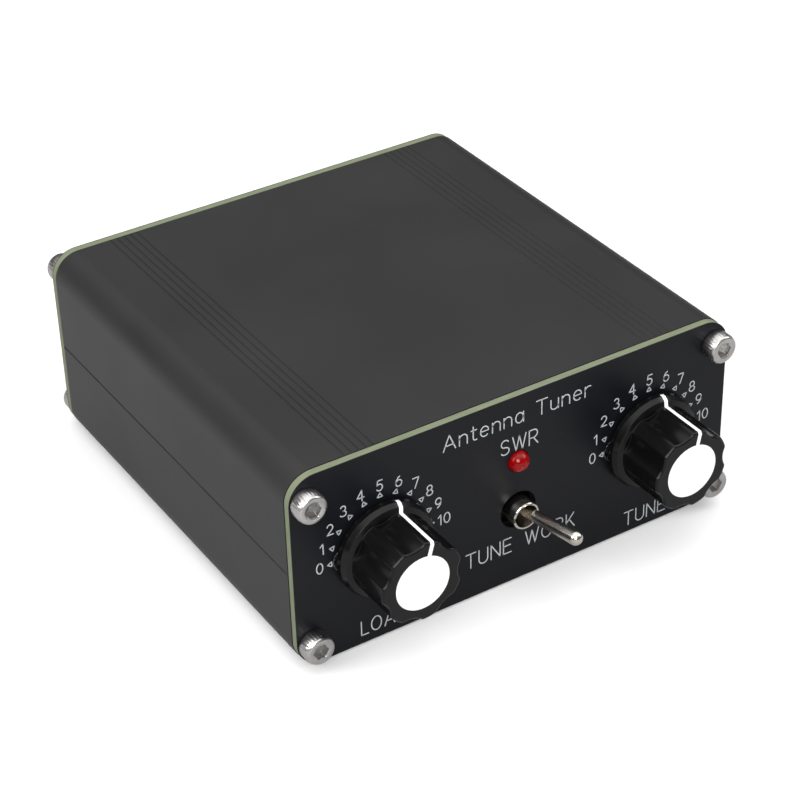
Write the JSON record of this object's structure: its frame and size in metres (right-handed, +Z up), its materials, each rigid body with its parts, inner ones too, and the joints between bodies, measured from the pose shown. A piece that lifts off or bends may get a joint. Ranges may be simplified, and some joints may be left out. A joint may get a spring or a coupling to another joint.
{
  "type": "antenna tuner",
  "caption": "Box-shaped radio antenna tuner: split aluminium case, dial knobs and lamp in front, coaxial jacks and switch behind.",
  "frame": {"origin": "centre of the case's bottom face", "axes": "+Z up, -Y out of the knob panel, +Y out of the jack panel, +X to the right when facing the knob panel"},
  "size_m": [0.088, 0.1158, 0.038],
  "materials": {
    "case_anodise": "satin black anodised",
    "panel_mask": "semi-matt black solder mask over glass-fibre board",
    "screw_steel": "satin stainless steel",
    "board_laminate": "green solder mask",
    "knob_black": "glossy moulded black",
    "knob_white": "smooth white",
    "grub_steel": "black oxide steel",
    "brass": "turned",
    "capacitor_plastic": "pale moulded",
    "plate_aluminium": "stamped",
    "nickel": "bright nickel plate",
    "housing_plastic": "moulded",
    "ptfe": "white fluoropolymer",
    "gold": "gold plate",
    "lamp_red": "clear red epoxy",
    "tinned_wire": "tinned copper",
    "core_powder": "painted iron powder",
    "core_ferrite": "ferrite",
    "enamel_wire": "enamelled copper",
    "nylon": "natural nylon",
    "resistor_body": "film resistor coating",
    "diode_glass": "glass diode",
    "wire_sheath": "insulated hookup wire"
  },
  "bodies": {
    "case": {"antenna_jack_contact": "gold", "antenna_jack_shell": "nickel", "bottom_shell": "case_anodise", "bridge_resistors": "resistor_body", "coil_clamp": "nylon", "coil_core": "core_powder", "detector_diode": "diode_glass", "front_panel": "panel_mask", "front_panel_screws": "screw_steel", "hookup_wires": "wire_sheath", "impedance_switch_bushing": "nickel", "impedance_switch_frame": "nickel", "impedance_switch_housing": "housing_plastic", "impedance_switch_terminals": "tinned_wire", "jack_insulators": "ptfe", "jack_lock_washers": "nickel", "jack_nuts": "nickel", "link_winding": "enamel_wire", "load_capacitor_case": "capacitor_plastic", "load_capacitor_cover": "capacitor_plastic", "load_capacitor_screws": "screw_steel", "load_stator_plates": "plate_aluminium", "main_board": "board_laminate", "mode_switch_bushing": "nickel", "mode_switch_frame": "nickel", "mode_switch_housing": "housing_plastic", "mode_switch_terminals": "tinned_wire", "radio_jack_contact": "gold", "radio_jack_shell": "nickel", "rear_panel": "panel_mask", "rear_panel_screws": "screw_steel", "sense_core": "core_ferrite", "sense_winding": "enamel_wire", "signal_lamp": "lamp_red", "signal_lamp_leads": "tinned_wire", "tank_winding": "enamel_wire", "top_shell": "case_anodise", "tune_capacitor_case": "capacitor_plastic", "tune_capacitor_cover": "capacitor_plastic", "tune_capacitor_screws": "screw_steel", "tune_stator_plates": "plate_aluminium"},
    "load_control": {"load_capacitor_spindle": "brass", "load_knob": "knob_black", "load_knob_cap_disc": "knob_white", "load_knob_pointer": "knob_white", "load_knob_set_screw": "grub_steel", "load_rotor_plates": "plate_aluminium", "load_shaft_sleeve": "brass"},
    "tune_control": {"tune_capacitor_spindle": "brass", "tune_knob": "knob_black", "tune_knob_cap_disc": "knob_white", "tune_knob_pointer": "knob_white", "tune_knob_set_screw": "grub_steel", "tune_rotor_plates": "plate_aluminium", "tune_shaft_sleeve": "brass"},
    "mode_lever": {"mode_switch_lever": "nickel"},
    "mode_rocker": {"mode_switch_rocker": "nickel"},
    "impedance_lever": {"impedance_switch_lever": "nickel"},
    "impedance_rocker": {"impedance_switch_rocker": "nickel"}
  },
  "joints": [
    {"name": "load_knob_turn", "type": "hinge", "parent": "case", "child": "load_control", "pos_m": [-0.0272, -0.0431, 0.0191], "axis": [0, 1, 0], "range_deg": [-105.48, 74.52]},
    {"name": "tune_knob_turn", "type": "hinge", "parent": "case", "child": "tune_control", "pos_m": [0.0272, -0.0431, 0.0191], "axis": [0, 1, 0], "range_deg": [-100.98, 79.02]},
    {"name": "mode_lever_throw", "type": "hinge", "parent": "case", "child": "mode_lever", "pos_m": [0, -0.0411, 0.0148], "axis": [0, 0, 1], "range_deg": [-26.5, 0]},
    {"name": "mode_rocker_tilt", "type": "hinge", "parent": "case", "child": "mode_rocker", "pos_m": [0, -0.0343, 0.0148], "axis": [0, 0, 1], "range_deg": [0, 26.5]},
    {"name": "impedance_lever_throw", "type": "hinge", "parent": "case", "child": "impedance_lever", "pos_m": [0, 0.0411, 0.0144], "axis": [0, 0, 1], "range_deg": [-26.5, 0]},
    {"name": "impedance_rocker_tilt", "type": "hinge", "parent": "case", "child": "impedance_rocker", "pos_m": [0, 0.0343, 0.0144], "axis": [0, 0, 1], "range_deg": [0, 26.5]}
  ],
  "couplings": [
    {"joint": "mode_rocker_tilt", "follows": "mode_lever_throw", "ratio": -1},
    {"joint": "impedance_rocker_tilt", "follows": "impedance_lever_throw", "ratio": -1}
  ]
}
